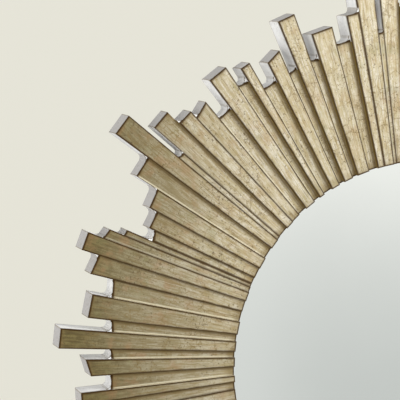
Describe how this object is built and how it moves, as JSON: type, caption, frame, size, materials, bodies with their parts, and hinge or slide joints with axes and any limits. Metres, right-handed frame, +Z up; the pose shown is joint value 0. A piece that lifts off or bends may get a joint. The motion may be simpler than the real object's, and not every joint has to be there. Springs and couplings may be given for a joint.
{
  "type": "wall mirror",
  "caption": "Round wall mirror in a moulded sunburst frame of irregular stepped rays, gilded on the front and silvered on the outer ends, hung from recessed keyhole plates.",
  "frame": {"origin": "centre of the backing board's rear face, on the wall plane", "axes": "+Y points into the wall, the mirror faces -Y, +Z is up and +X is to the right as seen from in front"},
  "size_m": [1.0677, 0.037, 1.0621],
  "materials": {
    "gilded_frame": "antique gold leaf, satin, with silver ends",
    "mirror_glass": "silvered glass",
    "backing_board": "plain hardboard",
    "hanger_steel": "zinc plated"
  },
  "bodies": {
    "root": {"frame": "gilded_frame", "mirror_glass": "mirror_glass", "backing_board": "backing_board", "hanger_plate_left": "hanger_steel", "hanger_plate_right": "hanger_steel", "hanger_screw_left_inner": "hanger_steel", "hanger_screw_left_outer": "hanger_steel", "hanger_screw_right_inner": "hanger_steel", "hanger_screw_right_outer": "hanger_steel"}
  },
  "joints": []
}
